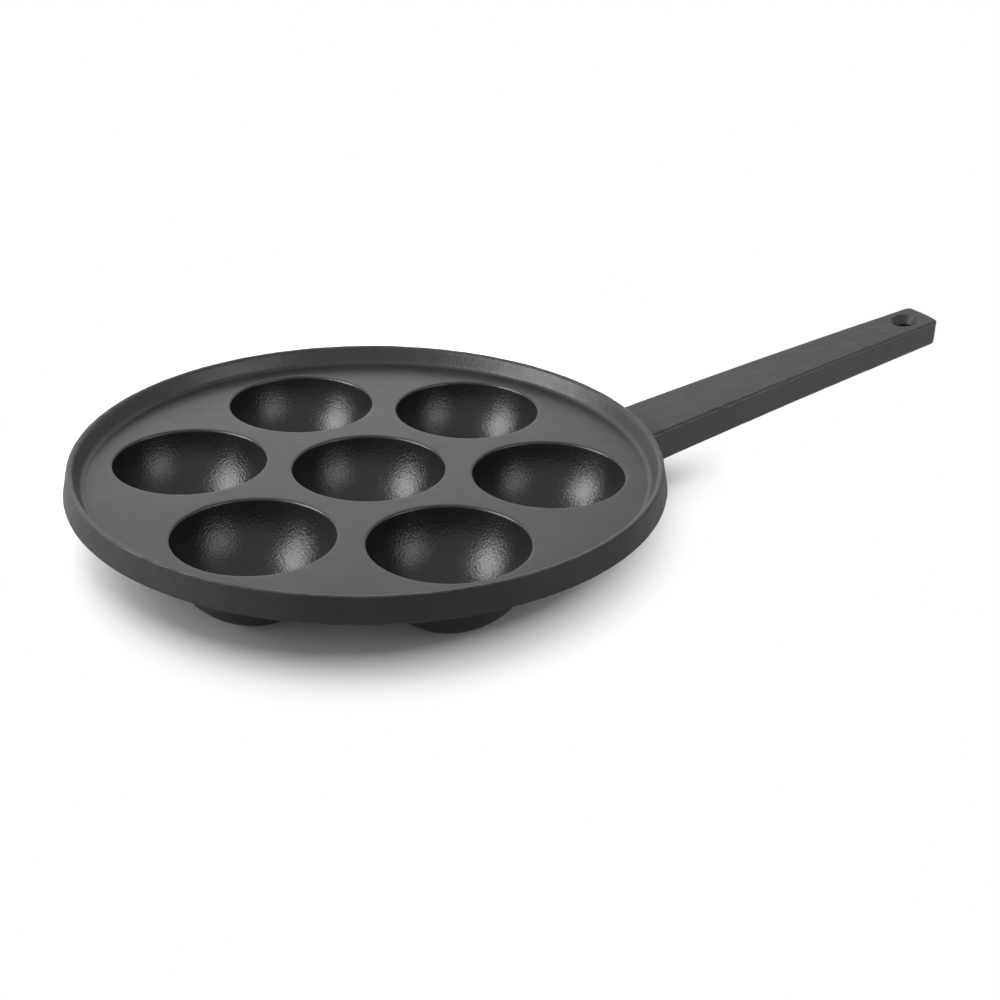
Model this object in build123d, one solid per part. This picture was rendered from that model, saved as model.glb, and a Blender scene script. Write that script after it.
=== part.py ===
from build123d import *
import math
import os

# A black cast iron pan with seven round-bottomed cups in a flat plate, a low raised rim,
# and a tapering flat bar for a handle with a countersunk hole to hang it by.
# Millimetres. The origin is on the table, at the middle of the centre cup's flat foot.
# +Z is up, and the handle points along +X, midway between two cups of the outer ring.

# Driving size of the plate
plate_thickness = 3.2

# Driving sizes of the rim, which stands on the plate's edge
rim_height = 6.6  # above the plate's top
rim_foot_width = 6.7  # radial, from the widest part of the rim to its foot on the plate
rim_outer_draft = 2.0  # how far the outer wall leans in on its way up
rim_crest_width = 2.0  # radial, at the rim's top, before its edges are rounded
rim_outer_rounding = 0.8
rim_inner_rounding = 1.8
rim_foot_fillet = 2.0
rim_under_rounding = 0.8

# Driving sizes of the cups
cup_bore_diameter = 58.6
cup_wall = 2.7
cup_lip_rounding = 1.0
cup_foot_cut = 1.0  # what the flat foot takes off the bowl's round underside
ring_cup_count = 6
cup_gap = 5.3  # least plate between two cups
cup_rim_gap = 7.0  # plate between the ring of cups and the rim's foot
cup_root_fillet = 2.0  # under the plate, round each cup

# Driving sizes of the handle, measured outwards from the rim's outer wall
handle_reach = 158.5
handle_root_width = 30.1
handle_tip_width = 20.2
handle_root_thickness = 13.8
handle_tip_thickness = 10.7
handle_root_drop = 4.6  # handle's top below the plate's top, at the rim
handle_tip_rise = 21.8  # handle's top above the plate's top, at the tip
handle_crown = 0.65  # how far its long faces bow upwards
handle_end_bulge = 0.8
handle_corner_rounding = 2.5
handle_edge_rounding = 1.2
handle_end_bevel_depth = 2.4  # along the lower edge of its end
handle_end_bevel_height = 5.0

# Driving sizes of the handle's cast root
root_fillet = 7.0  # between the rim's outer wall and the handle's top
root_length = 9.5  # outside the rim, where the bar takes over
root_web_reach = 33.0  # inwards, under the plate
root_web_toe = 1.2  # thickness of the web's inner end
root_web_bend = 22.0  # radius from the handle's underside into the web

# Driving sizes of the hanging hole
hole_diameter = 6.4
hole_sink_diameter = 12.6
hole_under_sink_diameter = 8.4
hole_from_tip = 11.5

# Working values that follow from the sizes above
overrun = 2.0  # how far cutting tools pass the faces that they cut
cup_inner_radius = cup_bore_diameter / 2
cup_outer_radius = cup_inner_radius + cup_wall
cooking_face_height = cup_outer_radius - cup_foot_cut  # plate's top above the table
plate_under = cooking_face_height - plate_thickness
rim_top = cooking_face_height + rim_height
cup_pitch = 2 * cup_outer_radius + cup_gap
ring_step_degrees = 360 / ring_cup_count
cup_ring_radius = cup_pitch * max(1, 1 / (2 * math.sin(math.pi / ring_cup_count)))
rim_foot_radius = cup_ring_radius + cup_outer_radius + cup_rim_gap
plate_radius = rim_foot_radius - rim_foot_fillet
pan_radius = rim_foot_radius + rim_foot_width
tip_x = pan_radius + handle_reach
rim_wall_top = rim_top - rim_outer_rounding
rim_wall_height = rim_top - plate_under
rim_crest_outside = pan_radius - rim_outer_draft
rim_crest_inside = rim_crest_outside - rim_crest_width
crest_flat_share = 0.95  # most of the crest that its two roundings may take together
bowl_centre = Vector(0, 0, cooking_face_height)


def on_arc(centre_x, centre_z, radius, degrees):
    """A point of an arc in the XZ plane."""
    turn = math.radians(degrees)
    return (centre_x + radius * math.cos(turn), 0, centre_z + radius * math.sin(turn))


def ring_cup_centres():
    """Plan positions of the outer ring's cups, with the handle midway between two of them."""
    turns = [math.radians(ring_step_degrees * (index + 1 / 2)) for index in range(ring_cup_count)]
    return [(cup_ring_radius * math.cos(turn), cup_ring_radius * math.sin(turn)) for turn in turns]


def spin(outline):
    """Turn a closed outline in the XZ plane into a solid of revolution about Z."""
    return revolve(make_face(outline), Axis.Z)


def cup():
    """One bowl: round inside and outside, a rounded lip and a flat foot."""
    lip_distance = cup_inner_radius + cup_lip_rounding
    lip_centre_x = math.sqrt(lip_distance**2 - cup_lip_rounding**2)
    lip_centre_z = cooking_face_height - cup_lip_rounding
    lip_turn = -math.degrees(math.asin(cup_lip_rounding / lip_distance))
    foot_turn = -math.degrees(math.asin(cooking_face_height / cup_outer_radius))

    bottom = on_arc(0, cooking_face_height, cup_inner_radius, -90)
    bore_middle = on_arc(0, cooking_face_height, cup_inner_radius, (lip_turn - 90) / 2)
    bore_end = on_arc(0, cooking_face_height, cup_inner_radius, lip_turn)
    lip_middle = on_arc(lip_centre_x, lip_centre_z, cup_lip_rounding, (180 + lip_turn + 90) / 2)
    lip_end = (lip_centre_x, 0, cooking_face_height)
    edge = (cup_outer_radius, 0, cooking_face_height)
    wall_middle = on_arc(0, cooking_face_height, cup_outer_radius, foot_turn / 2)
    foot_edge = on_arc(0, cooking_face_height, cup_outer_radius, foot_turn)
    outline = [
        ThreePointArc(bottom, bore_middle, bore_end),
        ThreePointArc(bore_end, lip_middle, lip_end),
        Line(lip_end, edge),
        ThreePointArc(edge, wall_middle, foot_edge),
        Line(foot_edge, (0, 0, 0)),
        Line((0, 0, 0), bottom),
    ]
    return spin(outline)


def cup_root_ring():
    """The fillet under the plate round one cup, which the cup's bowl still has to cut."""
    reach = cup_outer_radius + cup_root_fillet
    centre_z = plate_under - cup_root_fillet
    centre_x = math.sqrt(reach**2 - (plate_thickness + cup_root_fillet) ** 2)
    touch_turn = math.degrees(math.atan2(cooking_face_height - centre_z, -centre_x))
    under_edge = (centre_x, 0, plate_under)
    middle = on_arc(centre_x, centre_z, cup_root_fillet, (90 + touch_turn) / 2)
    bowl_edge = on_arc(centre_x, centre_z, cup_root_fillet, touch_turn)
    inner_x = bowl_edge[0] - overrun
    outline = [
        ThreePointArc(under_edge, middle, bowl_edge),
        Line(bowl_edge, (inner_x, 0, bowl_edge[2])),
        Line((inner_x, 0, bowl_edge[2]), (inner_x, 0, plate_under)),
        Line((inner_x, 0, plate_under), under_edge),
    ]
    return spin(outline)


def plate():
    """The flat round plate with a seat for each cup and a fillet round it underneath."""
    disc = Pos(0, 0, plate_under) * Cylinder(
        plate_radius, plate_thickness, align=(Align.CENTER, Align.CENTER, Align.MIN)
    )
    ring = cup_root_ring()
    bowl = Pos(bowl_centre) * Sphere(cup_outer_radius)
    centres = [(0, 0)] + ring_cup_centres()
    for x, y in centres:
        disc += Pos(x, y, 0) * ring
    for x, y in centres:
        disc -= Pos(x, y, 0) * bowl
    return disc


def crest_roundings():
    """The outer and the inner rounding of the rim's crest, limited by the crest's width."""
    outer_turn = math.atan2(rim_wall_height, rim_outer_draft)
    inner_turn = math.atan2(rim_height, rim_crest_inside - rim_foot_radius)
    outer_reach = rim_outer_rounding * math.tan(outer_turn / 2)
    inner_reach = rim_inner_rounding * math.tan(inner_turn / 2)
    ease = min(1, crest_flat_share * rim_crest_width / (outer_reach + inner_reach))
    return [rim_outer_rounding * ease, rim_inner_rounding * ease]


def rim():
    """The raised rim: an outer wall that leans in, a rounded crest and a sloping inner wall."""
    corners = [
        (plate_radius, 0, plate_under),
        (pan_radius, 0, plate_under),
        (rim_crest_outside, 0, rim_top),
        (rim_crest_inside, 0, rim_top),
        (rim_foot_radius, 0, cooking_face_height),
        (plate_radius, 0, cooking_face_height),
    ]
    roundings = [0, rim_under_rounding, *crest_roundings(), rim_foot_fillet, 0]
    return spin(FilletPolyline(*corners, radius=roundings, close=True))


def rim_wall_radius(height):
    """Radius of the rim's leaning outer wall at a height above the table."""
    return pan_radius - rim_outer_draft * (height - plate_under) / rim_wall_height


def handle_top(share):
    """Height of the handle's top at a share of the way from the rim to the tip."""
    chord = -handle_root_drop + (handle_tip_rise + handle_root_drop) * share
    return cooking_face_height + chord + 4 * handle_crown * share * (1 - share)


def handle_thickness(share):
    return handle_root_thickness + (handle_tip_thickness - handle_root_thickness) * share


def handle_slope(share):
    """Rise of the handle's top per millimetre of its reach."""
    return (handle_tip_rise + handle_root_drop + 4 * handle_crown * (1 - 2 * share)) / handle_reach


def handle_point(share, depth):
    """A point in the handle's middle plane, at a depth below its top."""
    return (pan_radius + handle_reach * share, 0, handle_top(share) - depth)


def handle_side_face():
    """Side view of the root and the bar together, in the XZ plane."""
    inner_x = (pan_radius + rim_crest_inside) / 2
    inner_share = (inner_x - pan_radius) / handle_reach
    top = [handle_point(share, 0) for share in (inner_share, (inner_share + 1) / 2, 1)]
    under = [handle_point(share, handle_thickness(share)) for share in (0, 1 / 2, 1)]
    web_x = pan_radius - root_web_reach
    web_toe = (web_x, 0, plate_under - root_web_toe)
    face = make_face(
        [
            ThreePointArc(*top),
            Line(top[2], under[2]),
            ThreePointArc(*reversed(under)),
            Line(under[0], web_toe),
            Line(web_toe, (web_x, 0, plate_under)),
            Line((web_x, 0, plate_under), (inner_x, 0, plate_under)),
            Line((inner_x, 0, plate_under), top[0]),
        ]
    )
    web_corner = face.vertices().sort_by_distance(under[0])[0]
    return fillet(web_corner, root_web_bend)


def handle_plan_face():
    """Plan view of the root and the bar: a long taper with rounded corners at the tip."""
    taper = (handle_root_width - handle_tip_width) / handle_reach
    inner_width = handle_root_width + taper * root_web_reach
    inner_x = pan_radius - root_web_reach
    end_x = tip_x - handle_end_bulge
    left = (end_x, handle_tip_width / 2)
    right = (end_x, -handle_tip_width / 2)
    inner_left = (inner_x, inner_width / 2)
    inner_right = (inner_x, -inner_width / 2)
    face = make_face(
        [
            Line(inner_left, inner_right),
            Line(inner_right, right),
            ThreePointArc(right, (tip_x, 0), left),
            Line(left, inner_left),
        ]
    )
    for corner in (left, right):
        vertex = face.vertices().sort_by_distance(corner)[0]
        face = fillet(vertex, handle_corner_rounding)
    return face


def nearest_edge(body, point):
    return body.edges().sort_by_distance(point)[0]


def seam_zone(length, side):
    """A block on one side of the seam between the root and the bar, wider and taller than both."""
    height = 2 * (rim_top + handle_tip_rise)
    block = Box(length, 2 * handle_root_width, height, align=(side, Align.CENTER, Align.CENTER))
    return Pos(pan_radius + root_length, 0, 0) * block


def end_bevel():
    """Cutting tool for the bevel along the lower edge of the handle's end."""
    low_z = handle_top(1) - handle_tip_thickness
    corners = [
        (tip_x + overrun, 0, low_z - overrun),
        (tip_x + overrun, 0, low_z + handle_end_bevel_height),
        (tip_x, 0, low_z + handle_end_bevel_height),
        (tip_x - handle_end_bevel_depth, 0, low_z),
        (tip_x - handle_end_bevel_depth, 0, low_z - overrun),
    ]
    outline = make_face(Polyline(*corners, close=True))
    return extrude(outline, amount=handle_tip_width, both=True)


def wall_slice():
    """A slice of the rim's outer wall, for the root's fillet to climb."""
    low_z = handle_top(0) - handle_root_thickness / 2
    height = rim_wall_top - low_z
    low_radius = rim_wall_radius(low_z)
    high_radius = rim_wall_radius(rim_wall_top)
    drum = Cone(low_radius, high_radius, height, align=(Align.CENTER, Align.CENTER, Align.MIN))
    length = low_radius + rim_crest_inside
    inside = Box(length, 2 * low_radius, height, align=(Align.MIN, Align.CENTER, Align.MIN))
    return Pos(0, 0, low_z) * (drum - Pos(-low_radius, 0, 0) * inside)


def root_fillet_radius():
    """The fillet's radius, limited by the height of the wall that it climbs."""
    lean = math.atan(rim_outer_draft / rim_wall_height)
    corner_angle = math.pi / 2 - math.atan(handle_slope(0)) + lean
    climb = (rim_wall_top - handle_top(0)) / math.cos(lean)
    return min(root_fillet, climb * math.tan(corner_angle / 2))


def handle_blank():
    """The root and the bar in one, before they are parted and cut to the rim."""
    side = extrude(handle_side_face(), amount=handle_root_width, both=True)
    plan = extrude(handle_plan_face(), amount=rim_top + handle_tip_rise)
    blank = (side + wall_slice()) & plan
    blank = fillet(nearest_edge(blank, handle_point(0, 0)), root_fillet_radius())
    middle_x, _, top_z = handle_point(1 / 2, 0)
    low_z = top_z - handle_thickness(1 / 2)
    half_width = (handle_root_width + handle_tip_width) / 4
    # each long edge runs on round the tip to the other side, and is rounded with it
    edges = [nearest_edge(blank, (middle_x, half_width, z)) for z in (top_z, low_z)]
    return fillet(edges, handle_edge_rounding) - end_bevel()


def hanging_hole():
    """Cutting tool for the hole: square to the handle's top, countersunk on both faces."""
    share = (handle_reach - hole_from_tip) / handle_reach
    slope = handle_slope(share)
    # the seam of the turned faces lies on a diagonal, clear of the handle's middle plane
    seat = Plane(
        origin=(tip_x - hole_from_tip, 0, handle_top(share)),
        x_dir=(1, math.hypot(1, slope), slope),
        z_dir=(-slope, 0, 1),
    )
    under = -handle_thickness(share) * math.cos(math.atan(slope))
    bore_radius = hole_diameter / 2
    sink_radius = hole_sink_diameter / 2
    under_sink_radius = hole_under_sink_diameter / 2
    corners = [
        (0, 0, overrun),
        (sink_radius, 0, overrun),
        (sink_radius, 0, 0),
        (bore_radius, 0, bore_radius - sink_radius),
        (bore_radius, 0, under + under_sink_radius - bore_radius),
        (under_sink_radius, 0, under),
        (under_sink_radius, 0, under - overrun),
        (0, 0, under - overrun),
    ]
    return seat * spin(Polyline(*corners, close=True))


def handle_bar(blank):
    """The bar outside the root, with its hanging hole."""
    zone = seam_zone(handle_reach - root_length + overrun, Align.MIN)
    return (blank & zone) - hanging_hole()


def handle_root(blank, neighbours):
    """The cast root: a web under the plate, and a fillet up the rim's outer wall."""
    root = blank & seam_zone(root_length + root_web_reach + overrun, Align.MAX)
    bowl = Pos(bowl_centre) * Sphere(cup_outer_radius)
    for x, y in ring_cup_centres():
        root -= Pos(x, y, 0) * bowl
    for neighbour in neighbours:
        root -= neighbour
    return root


def main():
    os.makedirs("parts", exist_ok=True)
    parts = {"plate": plate(), "rim": rim(), "cup_centre": cup()}
    for index, (x, y) in enumerate(ring_cup_centres(), start=1):
        parts[f"cup_{index}"] = Pos(x, y, 0) * parts["cup_centre"]
    blank = handle_blank()
    parts["handle_root"] = handle_root(blank, [parts["plate"], parts["rim"]])
    parts["handle"] = handle_bar(blank)
    for name, part in parts.items():
        export_step(part, f"parts/{name}.step")
        print(name, round(part.volume), "mm3")


if __name__ == "__main__":
    main()
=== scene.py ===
"""The looks of a black cast iron pan with seven round cups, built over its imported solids.

Metres. The origin is on the table under the centre cup, +Z is up and the handle points along +X.
"""
import math

import bpy
import numpy as np
from mathutils import Matrix, Vector, geometry, noise


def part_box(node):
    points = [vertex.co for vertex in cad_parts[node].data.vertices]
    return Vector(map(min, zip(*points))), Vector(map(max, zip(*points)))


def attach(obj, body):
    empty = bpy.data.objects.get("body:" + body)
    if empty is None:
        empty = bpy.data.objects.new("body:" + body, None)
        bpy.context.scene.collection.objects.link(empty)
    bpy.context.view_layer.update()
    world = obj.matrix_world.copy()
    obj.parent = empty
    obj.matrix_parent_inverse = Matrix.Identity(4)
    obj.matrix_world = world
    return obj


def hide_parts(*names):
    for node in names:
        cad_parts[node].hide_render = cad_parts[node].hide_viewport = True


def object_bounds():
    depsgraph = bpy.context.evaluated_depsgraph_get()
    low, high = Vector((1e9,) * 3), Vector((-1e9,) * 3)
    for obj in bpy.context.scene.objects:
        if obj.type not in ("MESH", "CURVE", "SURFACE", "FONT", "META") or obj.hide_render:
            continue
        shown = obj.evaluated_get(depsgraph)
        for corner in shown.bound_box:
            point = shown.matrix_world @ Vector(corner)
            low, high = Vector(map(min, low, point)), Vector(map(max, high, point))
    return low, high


MM = 0.001
skin_seed = 7
noise.seed_set(skin_seed)
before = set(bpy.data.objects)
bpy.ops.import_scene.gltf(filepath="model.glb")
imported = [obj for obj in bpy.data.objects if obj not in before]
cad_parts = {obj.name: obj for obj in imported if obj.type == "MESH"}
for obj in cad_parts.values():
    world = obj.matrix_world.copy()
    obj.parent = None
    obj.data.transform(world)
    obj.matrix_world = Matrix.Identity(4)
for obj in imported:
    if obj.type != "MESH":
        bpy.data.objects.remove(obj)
cad_low, cad_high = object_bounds()

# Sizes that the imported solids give
rim_low, rim_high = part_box("rim")
cup_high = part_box("cup_centre")[1]
bar_low, bar_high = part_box("handle")
root_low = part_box("handle_root")[0]
rim_top = rim_high.z
plate_under = rim_low.z
plate_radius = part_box("plate")[1].x
face_z = cup_high.z
cup_outer_radius = cup_high.x
seam_x = bar_low.x
tip_x = bar_high.x
cup_names = ["cup_centre"] + [f"cup_{index}" for index in range(1, 7)]

# Sizes that the boxes don't show
cup_wall = 2.7 * MM
cup_lip_rounding = 1.0 * MM
cup_root_fillet = 2.0 * MM
rim_foot_width = 6.7 * MM
rim_outer_draft = 2.0 * MM
rim_crest_width = 2.0 * MM
rim_outer_rounding = 0.8 * MM
rim_inner_rounding = 1.8 * MM
rim_foot_fillet = 2.0 * MM
rim_under_rounding = 0.8 * MM
handle_reach = 158.5 * MM
handle_root_width = 30.1 * MM
handle_tip_width = 20.2 * MM
handle_root_thickness = 13.8 * MM
handle_tip_thickness = 10.7 * MM
handle_root_drop = 4.6 * MM
handle_tip_rise = 21.8 * MM
handle_crown = 0.65 * MM
handle_end_bulge = 0.8 * MM
handle_bulge_length = 10 * MM
handle_corner_rounding = 2.5 * MM
handle_edge_rounding = 1.2 * MM
handle_end_bevel_depth = 2.4 * MM
handle_end_bevel_height = 5.0 * MM
root_fillet = 7.0 * MM
root_web_toe = 1.2 * MM
root_web_bend = 22.0 * MM
hole_diameter = 6.4 * MM
hole_sink_diameter = 12.6 * MM
hole_under_sink_diameter = 8.4 * MM
hole_from_tip = 11.5 * MM
hole_edge_softening = 0.5 * MM

# How far the hole's tool stands out, and the steps over which slopes are measured
hole_tool_excess = 2 * MM
slope_step = 0.1 * MM
web_slope_step = 1 * MM

# How uneven the cast skin is: each wave's length and height, with finer ones that set in
# over a distance outside the plate
skin_waves = [(17 * MM, 0.05 * MM), (5 * MM, 0.02 * MM)]
rough_waves = [(5.5 * MM, 0.06 * MM), (2.6 * MM, 0.05 * MM)]
rough_start = 3 * MM

# How uneven the rounding of the handle's upper edge is: its waves' length, the share of the
# rounding that they take up, the width over which they set in, and their row in the noise
edge_wear_length = 4.5 * MM
edge_wear_share = 0.7
edge_wear_width = 5 * MM
edge_wear_row = -1

# Mesh density
cell = 0.9 * MM
plate_cell = 1.4 * MM
tiny = 1e-9
rim_segments = 720
cup_segments = 192
hole_segments = 96
bowl_steps = 52
outside_steps = 48
lip_steps = 8
rounding_steps = 8
fillet_steps = 6
corner_steps = 22
bar_stations = 150
web_stations = 24
fillet_stations = 28
fillet_crowding = 1.6
side_levels = 13
across_points = 30
edge_depths = [depth * MM for depth in (0, 0.05, 0.15, 0.3, 0.5, 0.75, 1.0, 1.3, 1.7)]

# Faces that meet at more than this angle keep a sharp edge between them
sharp_angle = math.radians(38)

# Faces that look outwards by more than this cosine belong to the rim's outer wall
wall_facing = 0.7

# How strongly the skin reflects: on the pan, in the cups, and, weaker, on the cups' outsides and
# the rim's outer wall
iron_ior = 1.36
cup_ior = 1.4
outside_ior = 1.25

# Finishes: two near blacks each
plate_tones = [(0.014, 0.0138, 0.0132), (0.019, 0.0187, 0.018)]
rim_tones = [(0.019, 0.0187, 0.018), (0.025, 0.0246, 0.0236)]
cup_tones = [(0.009, 0.0088, 0.0084), (0.013, 0.0128, 0.0122)]
# The outsides' two tones are darker than the rest: painted shade on the cups' undersides and the
# rim's outer wall, where the pan's shadow falls
outside_shade_tones = [(0.008, 0.0079, 0.0076), (0.012, 0.0118, 0.0114)]

# Finishes: the range of each roughness
plate_roughness = (0.26, 0.32)
rim_roughness = (0.32, 0.4)
cup_roughness = (0.2, 0.27)
handle_roughness = (0.34, 0.42)
outside_roughness = (0.5, 0.6)

# Finishes: each bump's wave length and depth
plate_bumps = [(6 * MM, 0.012 * MM), (0.5 * MM, 0.0015 * MM)]
rim_bumps = [(2.5 * MM, 0.05 * MM), (0.9 * MM, 0.12 * MM)]
cup_bumps = [(3 * MM, 0.04 * MM), (0.9 * MM, 0.16 * MM)]
handle_bumps = [(3 * MM, 0.04 * MM), (0.9 * MM, 0.05 * MM)]

# Finishes: how far the tones and the roughness wander, and the plate's grinding marks
blotch_length = 22 * MM
cloud_length = 9 * MM
streak_length = 1.4 * MM
streak_stretch = 25
streak_depth = 0.009 * MM

# The photo's view
camera_azimuth = math.radians(-28.705)
camera_elevation = math.radians(26.237)
camera_roll = math.radians(1.501)
camera_distance = 619.45 * MM
camera_target = Vector((32.10, -47.14, 31.0)) * MM
camera_lens = 60.047
camera_sensor = 36
camera_clip_start = 0.01

to_right = Vector((math.cos(camera_azimuth), math.sin(camera_azimuth), 0))
to_back = Vector((-math.sin(camera_azimuth), math.cos(camera_azimuth), 0))
to_up = Vector((0, 0, 1))

# What each lamp lights
iron_pieces = bpy.data.collections.new("iron_pieces")
ground = bpy.data.collections.new("ground")

# Each lamp's azimuth from the camera's right, elevation, size, power, and what it lights
lamp_distance = 1.3
lamps = {
    "left_softbox": (-166, 28, (1.0, 1.15), 38, iron_pieces),
    "right_softbox": (-27, 19, (0.85, 0.8), 8, iron_pieces),
    "back_softbox": (118, 27, (1.5, 1.2), 2.6, iron_pieces),
    "floor_key": (-120, 65, (0.7, 0.7), 7.5, ground),
    "floor_sky": (0, 90, (8, 8), 285, ground),
}

# The world's soft light: its levels, and the cosines between which it changes
studio_front = 0.07
studio_left = 2.05
studio_right = 0.44
studio_side_reach = 0.4
backdrop_elevation = math.radians(30)
backdrop_start = 0.1
backdrop_full = 0.7
to_backdrop = (to_back + to_up * math.tan(backdrop_elevation)).normalized()

# The table top, and the oval outside of which the camera sees it plain white
floor_front = 0.30
floor_back = 1.5
floor_side = 0.45
floor_tone = 0.62
floor_roughness = 0.7
fade_centre = (-0.010, 0.120)
fade_radii = (0.162, 0.246)
fade_start_share = 0.84

pan_radius = tip_x - handle_reach
plate_thickness = face_z - plate_under
rim_wall_height = rim_top - plate_under


# Helpers for meshes

def arc(centre, radius, start, end, steps):
    """Points of an arc between two angles in degrees."""
    turns = np.radians(np.linspace(start, end, steps + 1))
    return [(centre[0] + radius * math.cos(t), centre[1] + radius * math.sin(t)) for t in turns]


def line(start, end, step=cell):
    """Evenly spaced points from start up to, but not at, end."""
    count = max(1, round(math.dist(start, end) / step))
    return [tuple(np.array(start) + (np.array(end) - start) * i / count) for i in range(count)]


def cast_skin(point):
    """A point moved by the casting's unevenness, alike for every piece, so that seams stay shut.
    The rim and the handle are rougher than the plate."""
    moved = Vector(point)
    for length, height in skin_waves:
        moved += noise.noise_vector(Vector(point) / length) * height
    rough = min(1, max(0, (math.hypot(point[0], point[1]) - plate_radius) / rough_start))
    if rough > 0:
        for length, height in rough_waves:
            moved += noise.noise_vector(Vector(point) / length) * height * rough
    return moved


def make_piece(name, vertices, faces, nodes, material):
    """A shaded mesh object that stands for the named solids."""
    low, high = np.array(cad_low), np.array(cad_high)
    points = np.clip([cast_skin(v) for v in vertices], low, high)
    mesh = bpy.data.meshes.new(name)
    mesh.from_pydata(points.tolist(), [], faces)
    mesh.validate()
    mesh.polygons.foreach_set("use_smooth", [True] * len(mesh.polygons))
    mesh.set_sharp_from_angle(angle=sharp_angle)
    mesh.materials.append(material)
    piece = bpy.data.objects.new(name, mesh)
    bpy.context.scene.collection.objects.link(piece)
    iron_pieces.objects.link(piece)
    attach(piece, "root")
    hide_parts(*nodes)
    return piece


def revolve(profile, segments, centre=(0, 0), closed=False):
    """Vertices and faces of a turned profile of (radius, height) points, which runs clockwise
    round the solid. A point on the axis becomes a single vertex."""
    turns = np.linspace(0, 2 * math.pi, segments, endpoint=False)
    vertices, rings = [], []
    for radius, height in profile:
        first = len(vertices)
        if radius < tiny:
            vertices.append((centre[0], centre[1], height))
            rings.append([first] * segments)
        else:
            vertices += [
                (centre[0] + radius * math.cos(t), centre[1] + radius * math.sin(t), height)
                for t in turns
            ]
            rings.append(list(range(first, first + segments)))
    faces = []
    pairs = list(zip(rings, rings[1:] + rings[:1])) if closed else list(zip(rings, rings[1:]))
    for ring, other in pairs:
        for i in range(segments):
            j = (i + 1) % segments
            corners = [ring[i], other[i], other[j], ring[j]]
            face = [c for k, c in enumerate(corners) if c != corners[k - 1]]
            faces.append(face)
    return vertices, faces


def weld(patches, tolerance=0.001 * MM):
    """Joins grids of points into one closed mesh, sharing the points where the grids meet."""
    vertices, faces, seen = [], [], {}

    def index(point):
        key = tuple(round(c / tolerance) for c in point)
        if key not in seen:
            seen[key] = len(vertices)
            vertices.append(tuple(point))
        return seen[key]

    for grid in patches:
        rows = [[index(p) for p in row] for row in grid]
        for row, other in zip(rows, rows[1:]):
            for i in range(len(row) - 1):
                corners = [row[i], row[i + 1], other[i + 1], other[i]]
                face = [c for k, c in enumerate(corners) if c != corners[k - 1]]
                if len(face) > 2:
                    faces.append(face)
    return vertices, faces


# The pieces

def cup_profile():
    """A bowl's closed section: round inside and outside, a rounded lip and a flat foot."""
    inner_radius = cup_outer_radius - cup_wall
    lip_distance = inner_radius + cup_lip_rounding
    lip_turn = -math.degrees(math.asin(cup_lip_rounding / lip_distance))
    lip_centre = (math.sqrt(lip_distance**2 - cup_lip_rounding**2), face_z - cup_lip_rounding)
    foot_turn = -math.degrees(math.asin(face_z / cup_outer_radius))
    foot_radius = math.sqrt(cup_outer_radius**2 - face_z**2)
    profile = arc((0, face_z), inner_radius, -90, lip_turn, bowl_steps)
    profile += arc(lip_centre, cup_lip_rounding, 180 + lip_turn, 90, lip_steps)[1:]
    profile += [(cup_outer_radius, face_z)]
    profile += arc((0, face_z), cup_outer_radius, 0, foot_turn, outside_steps)[1:]
    profile += line((foot_radius, 0), (0, 0))[1:] + [(0, 0)]
    profile[0] = (0, profile[0][1])
    return profile


def build_cup(name, material, face_material, shaded_outside_material):
    """A bowl, whose lip is as smooth as the plate round it and whose outside is painted darker, as
    shade.
    """
    low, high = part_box(name)
    centre = ((low.x + high.x) / 2, (low.y + high.y) / 2)
    vertices, faces = revolve(cup_profile(), cup_segments, centre)
    piece = make_piece(f"{name}_bowl", vertices, faces, [name], material)
    piece.data.materials.append(face_material)
    piece.data.materials.append(shaded_outside_material)
    middle = Vector((*centre, face_z))
    for face in piece.data.polygons:
        if face.center.z > face_z - cup_lip_rounding / 2 and face.normal.z > 0:
            face.material_index = 1
        # Faces that look away from the bowl's middle get the darker iron: painted shade
        elif face.normal.dot(face.center - middle) > 0:
            face.material_index = 2


def rounded(corners, radii, steps=rounding_steps):
    """A closed outline through the corners, with each of them rounded by its radius."""
    points = []
    for k, (corner, radius) in enumerate(zip(corners, radii)):
        here = np.array(corner)
        back = np.array(corners[k - 1]) - here
        ahead = np.array(corners[(k + 1) % len(corners)]) - here
        back, ahead = back / np.linalg.norm(back), ahead / np.linalg.norm(ahead)
        half = math.acos(np.clip(np.dot(back, ahead), -1, 1)) / 2
        middle = (back + ahead) / np.linalg.norm(back + ahead)
        centre = here + middle * radius / math.sin(half)
        start, end = here + back * radius / math.tan(half), here + ahead * radius / math.tan(half)
        if points:
            points += line(points[-1], start)[1:]
        if radius == 0:
            points.append(tuple(here))
            continue
        first = math.degrees(math.atan2(*(start - centre)[::-1]))
        turn = (math.degrees(math.atan2(*(end - centre)[::-1])) - first + 180) % 360 - 180
        points += arc(centre, radius, first, first + turn, steps)
    return points + line(points[-1], points[0])[1:]


def rim_profile():
    """The rim's closed section, from the plate's edge over the foot and crest to the underside."""
    crest_outside = pan_radius - rim_outer_draft
    corners = [
        (plate_radius, face_z),
        (pan_radius - rim_foot_width, face_z),
        (crest_outside - rim_crest_width, rim_top),
        (crest_outside, rim_top),
        (pan_radius, plate_under),
        (plate_radius, plate_under),
    ]
    roundings = [rim_foot_fillet, rim_inner_rounding, rim_outer_rounding, rim_under_rounding]
    return rounded(corners, [0, *roundings, 0])


def build_rim(material, shaded_wall_material):
    """The rim, whose outer wall is painted darker than its crest, as shade."""
    vertices, faces = revolve(rim_profile(), rim_segments, closed=True)
    piece = make_piece("rim_casting", vertices, faces, ["rim"], material)
    piece.data.materials.append(shaded_wall_material)
    for face in piece.data.polygons:
        outward = Vector((face.center.x, face.center.y, 0)).normalized()
        # Faces that look outwards get the darker iron: painted shade
        if face.normal.dot(outward) > wall_facing:
            face.material_index = 1


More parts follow.
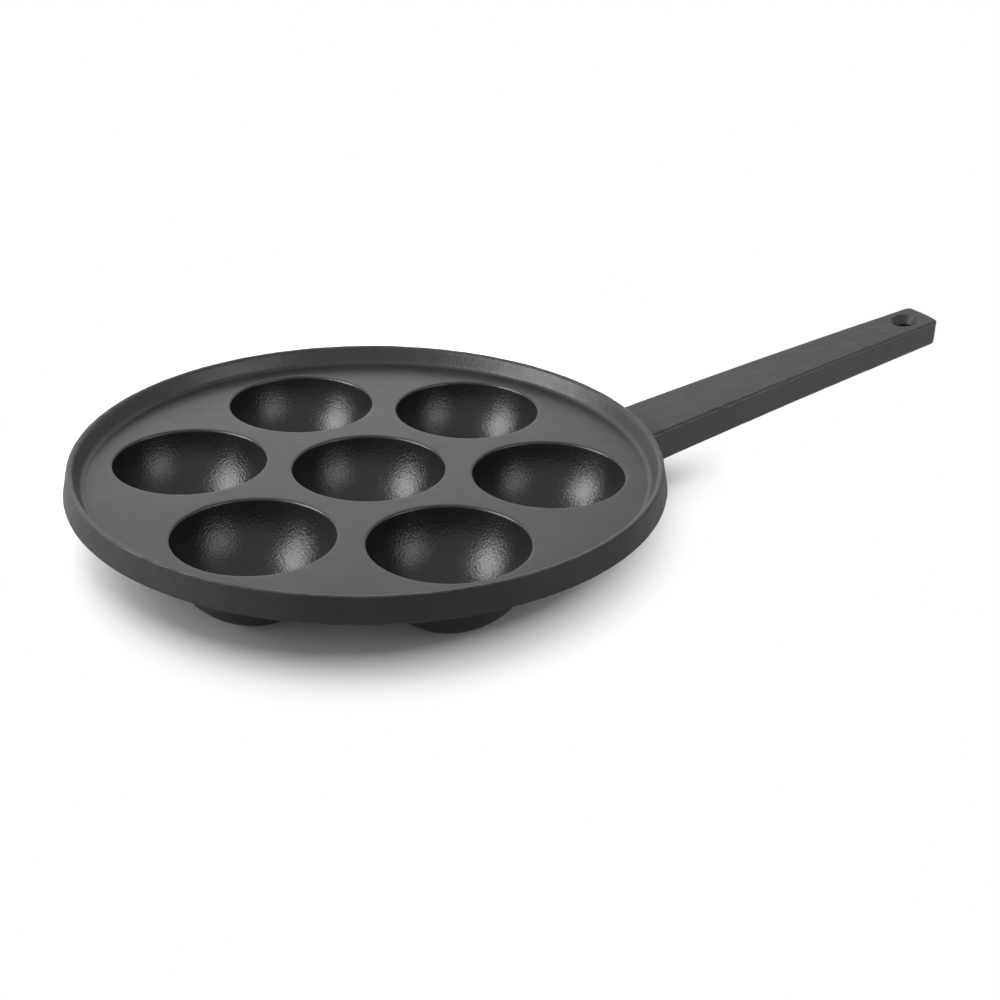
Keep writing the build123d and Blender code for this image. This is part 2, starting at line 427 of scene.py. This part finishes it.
def circle(centre, radius, count):
    """Evenly spaced points of a circle."""
    turns = np.linspace(0, 2 * math.pi, count, endpoint=False)
    return [(centre[0] + radius * math.cos(t), centre[1] + radius * math.sin(t)) for t in turns]


def perforated_disc(outer, holes, hole_radius, spacing):
    """Triangles of a disc with round holes: its points, each edge loop's points and its faces."""
    points, edges, loops = [], [], []
    for loop in [outer] + holes:
        first = len(points)
        points += loop
        loops.append(list(range(first, first + len(loop))))
        edges += [(a, b) for a, b in zip(loops[-1], loops[-1][1:] + loops[-1][:1])]
    outer_radius = math.hypot(*outer[0])
    centres = [np.mean(hole, axis=0) for hole in holes]
    reach = int(outer_radius / spacing) + 2
    for row in range(-reach, reach + 1):
        for column in range(-reach, reach + 1):
            x = (column + (row % 2) / 2) * spacing
            y = row * spacing * math.sqrt(3) / 2
            clear = all(math.dist((x, y), c) > hole_radius + spacing / 2 for c in centres)
            if math.hypot(x, y) < outer_radius - spacing / 2 and clear:
                points.append((x, y))
    flat = [Vector(p) for p in points]
    found = geometry.delaunay_2d_cdt(flat, edges, [], 1, tiny)
    vertices, triangles = found[0], found[2]
    assert len(vertices) == len(points)
    hole_of = {index: number for number, loop in enumerate(loops[1:], start=1) for index in loop}
    faces = []
    for a, b, c in triangles:
        if not hole_of.get(a, 0) == hole_of.get(b, 0) == hole_of.get(c, 0) != 0:
            turn = (vertices[b] - vertices[a]).cross(vertices[c] - vertices[a])
            faces.append((a, b, c) if turn > 0 else (a, c, b))
    return [tuple(v) for v in vertices], loops, faces


def strip(ring, other):
    """The faces between two rings with equally many points."""
    ahead = zip(ring, ring[1:] + ring[:1], other[1:] + other[:1], other)
    return [tuple(corners) for corners in ahead]


def build_plate(material):
    """The plate, with a fillet underneath round each cup."""
    centres = []
    for name in cup_names:
        low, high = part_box(name)
        centres.append(((low.x + high.x) / 2, (low.y + high.y) / 2))
    outer = circle((0, 0), plate_radius, rim_segments)
    reach = cup_outer_radius + cup_root_fillet
    fillet_radius = math.sqrt(reach**2 - (plate_thickness + cup_root_fillet) ** 2)
    fillet_centre = (fillet_radius, plate_under - cup_root_fillet)
    touch = math.degrees(math.atan2(face_z - fillet_centre[1], -fillet_radius))
    throat = arc(fillet_centre, cup_root_fillet, touch, 90, fillet_steps)
    start = math.degrees(math.atan2(throat[0][1] - face_z, throat[0][0]))
    wall = arc((0, face_z), cup_outer_radius, 0, start, fillet_steps)

    vertices, faces = [], []
    all_loops = []
    for height, hole_radius, flip in (
        (face_z, cup_outer_radius, False),
        (plate_under, fillet_radius, True),
    ):
        holes = [circle(c, hole_radius, cup_segments) for c in centres]
        flat, loops, triangles = perforated_disc(outer, holes, hole_radius, plate_cell)
        first = len(vertices)
        vertices += [(x, y, height) for x, y in flat]
        faces += [tuple(first + i for i in (t[::-1] if flip else t)) for t in triangles]
        all_loops.append([[first + i for i in loop] for loop in loops])

    faces += strip(all_loops[1][0], all_loops[0][0])
    for index, centre in enumerate(centres, start=1):
        rings = [all_loops[0][index]]
        for radius, height in wall[1:] + throat[1:-1]:
            first = len(vertices)
            vertices += [(x, y, height) for x, y in circle(centre, radius, cup_segments)]
            rings.append(list(range(first, first + cup_segments)))
        rings.append(all_loops[1][index])
        for ring, other in zip(rings, rings[1:]):
            faces += strip(ring, other)
    return make_piece("plate_casting", vertices, faces, ["plate"], material)


# The handle and its root are six grids of points each, made by formulas for the faces

def handle_top(x):
    """Height of the handle's slightly crowned top."""
    share = (x - pan_radius) / handle_reach
    chord = -handle_root_drop + (handle_tip_rise + handle_root_drop) * share
    return face_z + chord + 4 * handle_crown * share * (1 - share)


def handle_thickness(x):
    share = (x - pan_radius) / handle_reach
    return handle_root_thickness + (handle_tip_thickness - handle_root_thickness) * share


def half_width(x):
    share = (x - pan_radius) / handle_reach
    return (handle_root_width + (handle_tip_width - handle_root_width) * share) / 2


def edge_drop(depth, rounding):
    """How far an edge lies below the face, at a depth in from the side."""
    left = max(0, rounding - depth)
    return rounding - math.sqrt(max(0, rounding**2 - left**2))


def worn_rounding(x, y):
    """The rounding of the handle's upper edges, uneven towards -Y, as if ground by hand."""
    share = edge_wear_share * min(1, max(0, -y / edge_wear_width))
    place = Vector((x / edge_wear_length, edge_wear_row, 0))
    return handle_edge_rounding * (1 + share * noise.noise(place))


def across():
    """Shares of the width from one side to the other, close together near the edges."""
    edge = [depth / (handle_root_width / 2) for depth in edge_depths]
    middle = np.linspace(edge[-1], 2 - edge[-1], across_points)[1:-1].tolist()
    return [share - 1 for share in edge + middle + [2 - value for value in reversed(edge)]]


def bar_point(back, share, level):
    """A point of the bar: back is how far it is from the end, share runs across from -1 to 1 and
    level from 0 at the underside to 1 at the top."""
    corner = max(0, handle_corner_rounding - back)
    cut = handle_corner_rounding - math.sqrt(handle_corner_rounding**2 - corner**2)
    width = half_width(tip_x - back)
    y = share * (width - cut)
    bulge = handle_end_bulge * (y / width) ** 2 * max(0, 1 - back / handle_bulge_length)
    x = tip_x - back - bulge
    corner_y = width - handle_corner_rounding
    if corner > 0 and abs(y) > corner_y:
        depth = handle_corner_rounding - math.hypot(corner, abs(y) - corner_y)
    else:
        depth = min(width - abs(y), back)
    depth = max(0, depth)
    top = handle_top(x) - edge_drop(depth, worn_rounding(x, y))
    bottom = handle_top(x) - handle_thickness(x) + edge_drop(depth, handle_edge_rounding)
    rest = tip_x - x
    if rest < handle_end_bevel_depth:
        low = handle_top(tip_x) - handle_tip_thickness
        bevel = low + handle_end_bevel_height * (1 - rest / handle_end_bevel_depth)
        bottom = max(bottom, bevel)
    return (x, y, bottom + (top - bottom) * level)


def six_grids(point, stations, shares, levels):
    """The faces of a bar-like piece as grids: top, underside, two sides and two ends."""
    return [
        [[point(s, v, 1) for v in shares] for s in stations],
        [[point(s, v, 0) for v in reversed(shares)] for s in stations],
        [[point(s, -1, w) for w in levels] for s in stations],
        [[point(s, 1, w) for w in reversed(levels)] for s in stations],
        [[point(stations[0], v, w) for v in shares] for w in levels],
        [[point(stations[-1], v, w) for v in reversed(shares)] for w in levels],
    ]


def build_bar(material):
    """The handle from the seam with its root to the tip, with its hanging hole."""
    length = tip_x - seam_x
    near = arc((0, 0), handle_corner_rounding, 90, 0, corner_steps)
    stations = [handle_corner_rounding - y for _, y in near]
    stations += np.linspace(stations[-1], length, bar_stations)[1:].tolist()
    levels = np.linspace(0, 1, side_levels).tolist()
    vertices, faces = weld(six_grids(bar_point, stations, across(), levels))
    piece = make_piece("handle_bar", vertices, faces, ["handle"], material)
    cut_hole(piece)
    return piece


def hole_profile(under):
    """The hanging hole's section along its axis: sinks at 45 degrees, the upper edge worn."""
    bore = hole_diameter / 2
    sink = hole_sink_diameter / 2
    under_sink = hole_under_sink_diameter / 2
    over = hole_tool_excess
    soft = hole_edge_softening
    reach = soft * math.tan(math.radians(45 / 2))
    flare = arc((sink + reach, -soft), soft, 90, 135, fillet_steps)
    profile = [(0, over), (sink + reach, over)] + flare
    profile += [(bore, bore - sink), (bore, under + under_sink - bore)]
    profile += [(under_sink, under), (under_sink, under - over), (0, under - over)]
    return profile


def cut_hole(piece):
    """Cuts the hanging hole, square to the handle's top."""
    x = tip_x - hole_from_tip
    step = slope_step
    slope = (handle_top(x + step) - handle_top(x - step)) / (2 * step)
    tilt = math.atan(slope)
    under = -handle_thickness(x) * math.cos(tilt)
    vertices, faces = revolve(hole_profile(under), hole_segments)
    mesh = bpy.data.meshes.new("hole_tool")
    mesh.from_pydata(vertices, [], faces)
    tool = bpy.data.objects.new("hole_tool", mesh)
    bpy.context.scene.collection.objects.link(tool)
    tool.matrix_world = Matrix.Translation((x, 0, handle_top(x))) @ Matrix.Rotation(-tilt, 4, "Y")
    cut = piece.modifiers.new("hanging_hole", "BOOLEAN")
    cut.object = tool
    cut.solver = "EXACT"
    bpy.context.view_layer.update()
    whole = piece.evaluated_get(bpy.context.evaluated_depsgraph_get())
    mesh = bpy.data.meshes.new_from_object(whole)
    piece.modifiers.clear()
    piece.data = mesh
    bpy.data.objects.remove(tool)
    mesh.set_sharp_from_angle(angle=sharp_angle)


def root_fillet_arc():
    """The arc between the handle's top and the rim's leaning wall, in the handle's middle plane
    and counted out from the pan's radius: its centre, and where it meets the wall and the top."""
    slope = (handle_top(pan_radius + root_fillet) - handle_top(pan_radius)) / root_fillet
    lean = rim_outer_draft / rim_wall_height
    turn, tilt = math.atan(slope), math.atan(lean)
    above = handle_top(pan_radius) + root_fillet / math.cos(turn)
    centre_out = root_fillet / math.cos(tilt) - lean * (above - plate_under)
    centre_out /= 1 + lean * slope
    centre_z = above + slope * centre_out
    wall_out = centre_out - root_fillet * math.cos(tilt)
    return centre_out, centre_z, wall_out, centre_out + root_fillet * math.sin(turn)


def fillet_top(x, y):
    """Height of the root's top, which climbs the rim's outer wall in a fillet."""
    centre_out, centre_z, wall_out, top_out = root_fillet_arc()
    out = math.hypot(x, y) - pan_radius
    if out > top_out:
        return handle_top(x)
    return centre_z - math.sqrt(root_fillet**2 - (max(out, wall_out) - centre_out) ** 2)


def web_underside(x):
    """Height of the root's underside: a web that runs out of the bar and thins under the plate."""
    web_x = root_low.x
    root_under = handle_top(pan_radius) - handle_root_thickness
    toe = plate_under - root_web_toe
    web_slope = (root_under - toe) / (pan_radius - web_x)
    ahead = pan_radius + web_slope_step
    bar_under = handle_top(ahead) - handle_thickness(ahead)
    bar_slope = (bar_under - root_under) / web_slope_step
    turn = math.atan(bar_slope) - math.atan(web_slope)
    bend = root_web_bend * math.tan(turn / 2)
    out = x - pan_radius
    if out < -bend:
        return root_under + web_slope * out
    if out > bend:
        return handle_top(x) - handle_thickness(x)
    share = (out + bend) / (2 * bend)
    before = root_under - web_slope * bend
    after = handle_top(pan_radius + bend) - handle_thickness(pan_radius + bend)
    return before * (1 - share) ** 2 + 2 * root_under * share * (1 - share) + after * share**2


def root_point(out, share, level):
    """A point of the root: out is how far it is from the pan's radius. Under the plate the grid is
    square to the handle, it is round at the rim's wall and square again at the seam."""
    wall_out = root_fillet_arc()[2]
    radius = pan_radius + out
    width = half_width(radius)
    y = share * width
    if out > wall_out:
        square = (out - wall_out) / (seam_x - pan_radius - wall_out)
    else:
        square = min(1, (wall_out - out) / (rim_foot_width + wall_out))
    x = math.sqrt(radius**2 - y**2) * (1 - square) + radius * square
    depth = max(0, width - abs(y))
    bottom = web_underside(x) + edge_drop(depth, handle_edge_rounding)
    drop = edge_drop(depth, worn_rounding(x, y))
    top = fillet_top(x, y) - drop if out >= wall_out else plate_under
    return (x, y, bottom + (top - bottom) * level)


def build_root(material):
    """The root, whose top inside the rim's wall is hidden and lies level with the plate's back."""
    wall_out = root_fillet_arc()[2]
    stations = np.linspace(root_low.x - pan_radius, -rim_foot_width, web_stations).tolist()
    stations += [wall_out - rim_outer_draft / 2]
    shares = np.linspace(0, 1, fillet_stations) ** fillet_crowding
    stations += (wall_out + shares * (seam_x - pan_radius - wall_out)).tolist()
    levels = np.linspace(0, 1, side_levels).tolist()
    vertices, faces = weld(six_grids(root_point, stations[::-1], across(), levels))
    name, slot = "handle_root_casting", "seasoned_iron"
    return make_piece(name, vertices, faces, ["handle_root"], material)


# Materials

def add(tree, kind, **values):
    """A new node with some of its settings or inputs set."""
    node = tree.nodes.new(kind)
    for name, value in values.items():
        if hasattr(node, name):
            setattr(node, name, value)
        else:
            node.inputs[name.replace("_", " ")].default_value = value
    return node


def noise_node(tree, place, length, detail=3.0, roughness=0.55):
    """A noise whose waves are about as long as the length."""
    node = add(tree, "ShaderNodeTexNoise", Scale=1 / length, Detail=detail, Roughness=roughness)
    tree.links.new(place, node.inputs["Vector"])
    return node.outputs["Fac"]


def bump(tree, height, depth, normal=None):
    """The normal after a bump on top of an earlier one."""
    node = add(tree, "ShaderNodeBump", Strength=1.0, Distance=depth)
    tree.links.new(height, node.inputs["Height"])
    if normal is not None:
        tree.links.new(normal, node.inputs["Normal"])
    return node.outputs["Normal"]


def spread(tree, value, low, high, start=0.3, end=0.7):
    """A value between start and end, spread over another range."""
    node = add(tree, "ShaderNodeMapRange")
    for name, number in (("From Min", start), ("From Max", end), ("To Min", low), ("To Max", high)):
        node.inputs[name].default_value = number
    tree.links.new(value, node.inputs["Value"])
    return node.outputs["Result"]


def iron(name, tones, roughness, bumps, ior=iron_ior, streaks=0.0):
    """Seasoned cast iron. tones are two near blacks, roughness a range, bumps a list of a wave's
    length and depth, and streaks the depth of long grinding marks."""
    material = bpy.data.materials.new(name)
    material.use_nodes = True
    tree = material.node_tree
    shader = tree.nodes["Principled BSDF"]
    shader.inputs["IOR"].default_value = ior
    place = add(tree, "ShaderNodeTexCoord").outputs["Object"]

    blotches = noise_node(tree, place, blotch_length, detail=4)
    mix = add(tree, "ShaderNodeMix", data_type="RGBA")
    mix.inputs[6].default_value = (*tones[0], 1)
    mix.inputs[7].default_value = (*tones[1], 1)
    tree.links.new(spread(tree, blotches, 0, 1), mix.inputs[0])
    tree.links.new(mix.outputs[2], shader.inputs["Base Color"])

    cloudy = noise_node(tree, place, cloud_length, detail=5, roughness=0.6)
    tree.links.new(spread(tree, cloudy, *roughness), shader.inputs["Roughness"])

    normal = None
    if streaks:
        drawn = add(tree, "ShaderNodeMapping", vector_type="TEXTURE")
        drawn.inputs["Rotation"].default_value = (0, 0, camera_azimuth)
        drawn.inputs["Scale"].default_value = (streak_stretch, 1, 1)
        tree.links.new(place, drawn.inputs["Vector"])
        marks = noise_node(tree, drawn.outputs["Vector"], streak_length, detail=2)
        normal = bump(tree, marks, streaks)
    for length, depth in bumps:
        normal = bump(tree, noise_node(tree, place, length), depth, normal)
    tree.links.new(normal, shader.inputs["Normal"])
    return material


# Camera, lights and floor

def build_camera():
    """The photo's camera."""
    data = bpy.data.cameras.new("camera")
    data.sensor_width = camera_sensor
    data.lens = camera_lens
    data.clip_start = camera_clip_start
    camera = bpy.data.objects.new("camera", data)
    bpy.context.scene.collection.objects.link(camera)
    back = -to_back * math.cos(camera_elevation) + to_up * math.sin(camera_elevation)
    flat_up = back.cross(to_right)
    right = math.cos(camera_roll) * to_right + math.sin(camera_roll) * flat_up
    up = -math.sin(camera_roll) * to_right + math.cos(camera_roll) * flat_up
    turn = Matrix((right, up, back)).transposed().to_4x4()
    camera.matrix_world = Matrix.Translation(camera_target + back * camera_distance) @ turn
    bpy.context.scene.camera = camera


def softbox(name, azimuth, elevation, size, power, lit):
    """A rectangular lamp that faces the pan and lights one collection. At an azimuth of 90 degrees
    it is straight behind the pan."""
    turn, rise = math.radians(azimuth), math.radians(elevation)
    level = to_right * math.cos(turn) + to_back * math.sin(turn)
    data = bpy.data.lights.new(name, "AREA")
    data.shape = "RECTANGLE"
    data.size, data.size_y = size
    data.energy = power
    lamp = bpy.data.objects.new(name, data)
    bpy.context.scene.collection.objects.link(lamp)
    place = (level * math.cos(rise) + to_up * math.sin(rise)) * lamp_distance
    turned = (-place).to_track_quat("-Z", "Y").to_matrix().to_4x4()
    lamp.matrix_world = Matrix.Translation(place) @ turned
    lamp.light_linking.receiver_collection = lit
    lamp.visible_camera = False


def along(tree, place, direction):
    """How far a place lies along a direction."""
    dot = add(tree, "ShaderNodeVectorMath", operation="DOT_PRODUCT")
    dot.inputs[1].default_value = direction
    tree.links.new(place, dot.inputs[0])
    return dot.outputs["Value"]


def either(tree, *values):
    """The largest of some values."""
    largest = values[0]
    for value in values[1:]:
        node = add(tree, "ShaderNodeMath", operation="MAXIMUM")
        tree.links.new(largest, node.inputs[0])
        tree.links.new(value, node.inputs[1])
        largest = node.outputs[0]
    return largest


def build_world():
    """A white backdrop for the camera and for reflections. Its soft light is brighter behind the
    pan than in front of it."""
    world = bpy.data.worlds.new("studio")
    bpy.context.scene.world = world
    world.use_nodes = True
    tree = world.node_tree
    background = tree.nodes["Background"]
    place = add(tree, "ShaderNodeTexCoord").outputs["Generated"]
    across_view = along(tree, place, to_right)
    reach = studio_side_reach
    side = spread(tree, across_view, studio_left, studio_right, -reach, reach)
    towards = along(tree, place, to_backdrop)
    behind = spread(tree, towards, 0, 1, backdrop_start, backdrop_full)
    backdrop = add(tree, "ShaderNodeMath", operation="MULTIPLY")
    tree.links.new(side, backdrop.inputs[0])
    tree.links.new(behind, backdrop.inputs[1])
    shade = add(tree, "ShaderNodeMath", operation="ADD")
    shade.inputs[1].default_value = studio_front
    tree.links.new(backdrop.outputs[0], shade.inputs[0])
    rays = add(tree, "ShaderNodeLightPath")
    mix = add(tree, "ShaderNodeMix", data_type="FLOAT")
    mix.inputs[3].default_value = 1.0
    shown = [rays.outputs[f"Is {kind} Ray"] for kind in ("Camera", "Glossy", "Transmission")]
    tree.links.new(either(tree, *shown), mix.inputs[0])
    tree.links.new(shade.outputs[0], mix.inputs[2])
    tree.links.new(mix.outputs[0], background.inputs["Strength"])
    background.inputs["Color"].default_value = (1, 1, 1, 1)


def build_floor():
    """A pale table top that keeps the pan's shadow and fades to plain white away from it."""
    mesh = bpy.data.meshes.new("floor")
    front, back = -to_back * floor_front, to_back * floor_back
    left, right = -to_right * floor_side, to_right * floor_side
    mesh.from_pydata([front + left, front + right, back + right, back + left], [], [(0, 1, 2, 3)])
    floor = bpy.data.objects.new("floor", mesh)
    bpy.context.scene.collection.objects.link(floor)
    ground.objects.link(floor)
    material = bpy.data.materials.new("floor_white")
    material.use_nodes = True
    tree = material.node_tree
    shader = tree.nodes["Principled BSDF"]
    shader.inputs["Base Color"].default_value = (floor_tone, floor_tone, floor_tone, 1)
    shader.inputs["Roughness"].default_value = floor_roughness
    glow = add(tree, "ShaderNodeEmission", Strength=1.0)
    place = add(tree, "ShaderNodeTexCoord").outputs["Object"]
    oval = add(tree, "ShaderNodeMapping", vector_type="TEXTURE")
    oval.inputs["Location"].default_value = to_right * fade_centre[0] + to_back * fade_centre[1]
    oval.inputs["Rotation"].default_value = (0, 0, camera_azimuth)
    oval.inputs["Scale"].default_value = (*fade_radii, 1)
    tree.links.new(place, oval.inputs["Vector"])
    far = add(tree, "ShaderNodeVectorMath", operation="LENGTH")
    tree.links.new(oval.outputs["Vector"], far.inputs[0])
    away = spread(tree, far.outputs["Value"], 0, 1, fade_start_share, 1)
    rays = add(tree, "ShaderNodeLightPath")
    amount = add(tree, "ShaderNodeMath", operation="MULTIPLY")
    tree.links.new(away, amount.inputs[0])
    tree.links.new(rays.outputs["Is Camera Ray"], amount.inputs[1])
    mix = add(tree, "ShaderNodeMixShader")
    tree.links.new(amount.outputs[0], mix.inputs[0])
    tree.links.new(shader.outputs[0], mix.inputs[1])
    tree.links.new(glow.outputs[0], mix.inputs[2])
    tree.links.new(mix.outputs[0], tree.nodes["Material Output"].inputs["Surface"])
    mesh.materials.append(material)


bpy.context.scene.view_settings.view_transform = "Standard"
plate_iron = iron("plate_iron", plate_tones, plate_roughness, plate_bumps, streaks=streak_depth)
rim_iron = iron("rim_iron", rim_tones, rim_roughness, rim_bumps)
cup_iron = iron("cup_iron", cup_tones, cup_roughness, cup_bumps, cup_ior)
handle_iron = iron("handle_iron", plate_tones, handle_roughness, handle_bumps)
# Painted shade: a darker copy of the iron for the cups' outsides and the rim's outer wall
shaded_outside_iron = iron("shaded_outside_iron", outside_shade_tones, outside_roughness, rim_bumps, outside_ior)

build_plate(plate_iron)
build_rim(rim_iron, shaded_outside_iron)
for cup_name in cup_names:
    build_cup(cup_name, cup_iron, plate_iron, shaded_outside_iron)
build_root(handle_iron)
build_bar(handle_iron)

build_camera()
for lamp_name, settings in lamps.items():
    softbox(lamp_name, *settings)
build_world()
build_floor()
